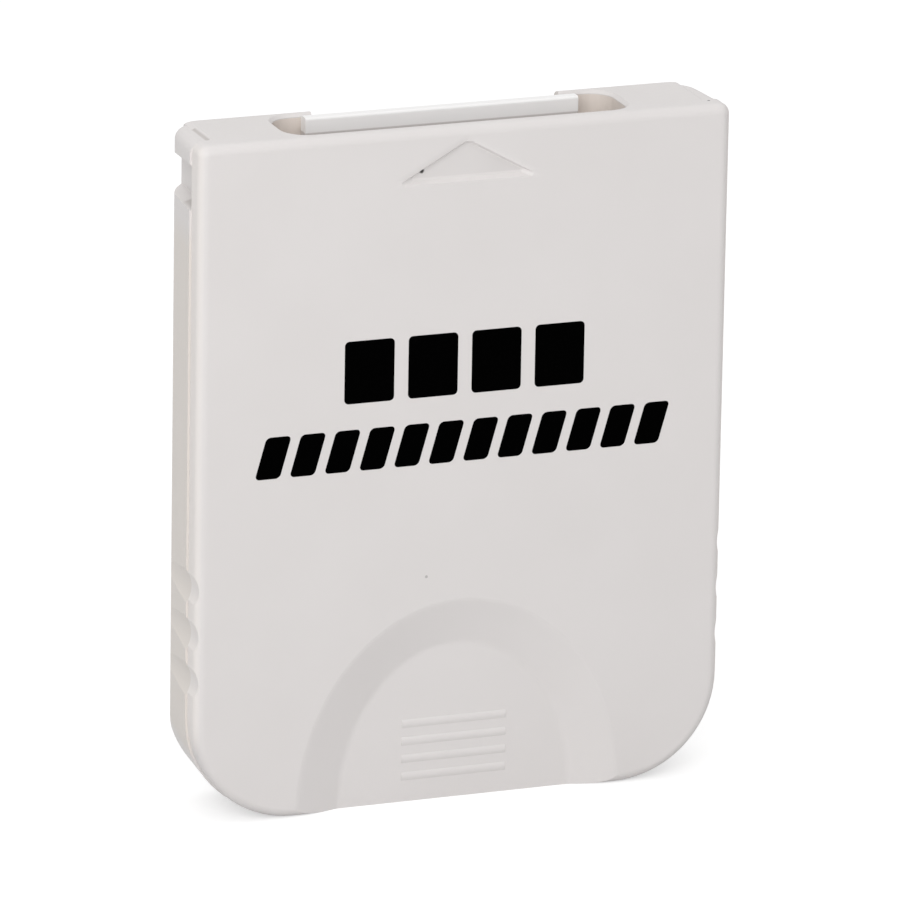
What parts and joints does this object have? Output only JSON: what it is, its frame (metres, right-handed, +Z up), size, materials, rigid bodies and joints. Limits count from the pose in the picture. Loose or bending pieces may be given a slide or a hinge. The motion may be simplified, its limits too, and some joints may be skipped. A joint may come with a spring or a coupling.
{
  "type": "memory card",
  "caption": "Slim memory card for a game console: a split white plastic case with a thumb scoop, finger scallops and latch notches, and a contact tongue in a slot in its top edge.",
  "frame": {"origin": "on the ground under the middle of the card, which stands on its flat lower edge", "axes": "+X to the right across the front, +Y from the front to the back, +Z up towards the connector slot"},
  "size_m": [0.042, 0.008, 0.0523],
  "materials": {
    "case_plastic": "satin, finely textured, off-white",
    "carrier_plastic": "smooth white",
    "contact": "gold plated",
    "board": "green solder mask",
    "chip": "black moulded",
    "capacitor": "tan ceramic",
    "resistor": "black ceramic",
    "screw": "nickel plated"
  },
  "bodies": {
    "root": {"front_shell": "case_plastic", "rear_shell": "case_plastic", "contact_carrier": "carrier_plastic", "circuit_board": "board", "flash_memory": "chip", "controller_chip": "chip", "case_screw": "screw", "contact_01": "contact", "contact_02": "contact", "contact_03": "contact", "contact_04": "contact", "contact_05": "contact", "contact_06": "contact", "contact_07": "contact", "contact_08": "contact", "contact_09": "contact", "contact_10": "contact", "contact_11": "contact", "contact_12": "contact", "capacitor_01": "capacitor", "capacitor_02": "capacitor", "capacitor_03": "capacitor", "capacitor_04": "capacitor", "resistor_01": "resistor", "resistor_02": "resistor", "resistor_03": "resistor", "resistor_04": "resistor"}
  },
  "joints": []
}
